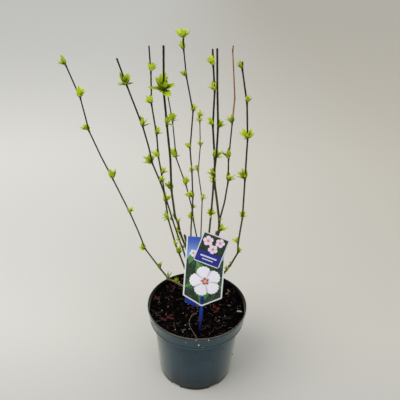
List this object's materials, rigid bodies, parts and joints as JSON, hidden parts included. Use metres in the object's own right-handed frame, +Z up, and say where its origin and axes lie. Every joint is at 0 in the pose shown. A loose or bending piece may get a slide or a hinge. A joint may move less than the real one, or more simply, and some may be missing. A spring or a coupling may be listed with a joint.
{
  "type": "potted rose of sharon",
  "caption": "Young, pruned rose of sharon shrub in first spring leaf, standing in a plain nursery pot of compost with a blank-titled plant label.",
  "frame": {"origin": "middle of the pot's flat underside, on the surface it stands on", "axes": "+Z up along the pot's axis, -Y towards the viewer of the label, +X to the viewer's right"},
  "size_m": [0.2996, 0.2551, 0.654],
  "materials": {
    "pot_plastic": "satin slate grey",
    "compost": "crumbly, moist",
    "bark": "rough bark",
    "foliage": "soft young leaf",
    "label_card": "printed, laminated",
    "label_stake": "glossy blue"
  },
  "bodies": {
    "root": {"pot": "pot_plastic", "soil": "compost", "trunk": "bark", "bough_left": "bark", "bough_middle": "bark", "bough_right": "bark", "cane_far_left": "foliage", "cane_left_front": "foliage", "cane_left_back": "foliage", "cane_left_thick": "foliage", "cane_tallest": "foliage", "cane_back_left": "foliage", "cane_back_thin": "foliage", "cane_forked": "foliage", "cane_middle_front": "foliage", "cane_far_right": "foliage", "label_card": "label_card", "label_small_card": "label_card", "label_stake": "label_stake"}
  },
  "joints": []
}
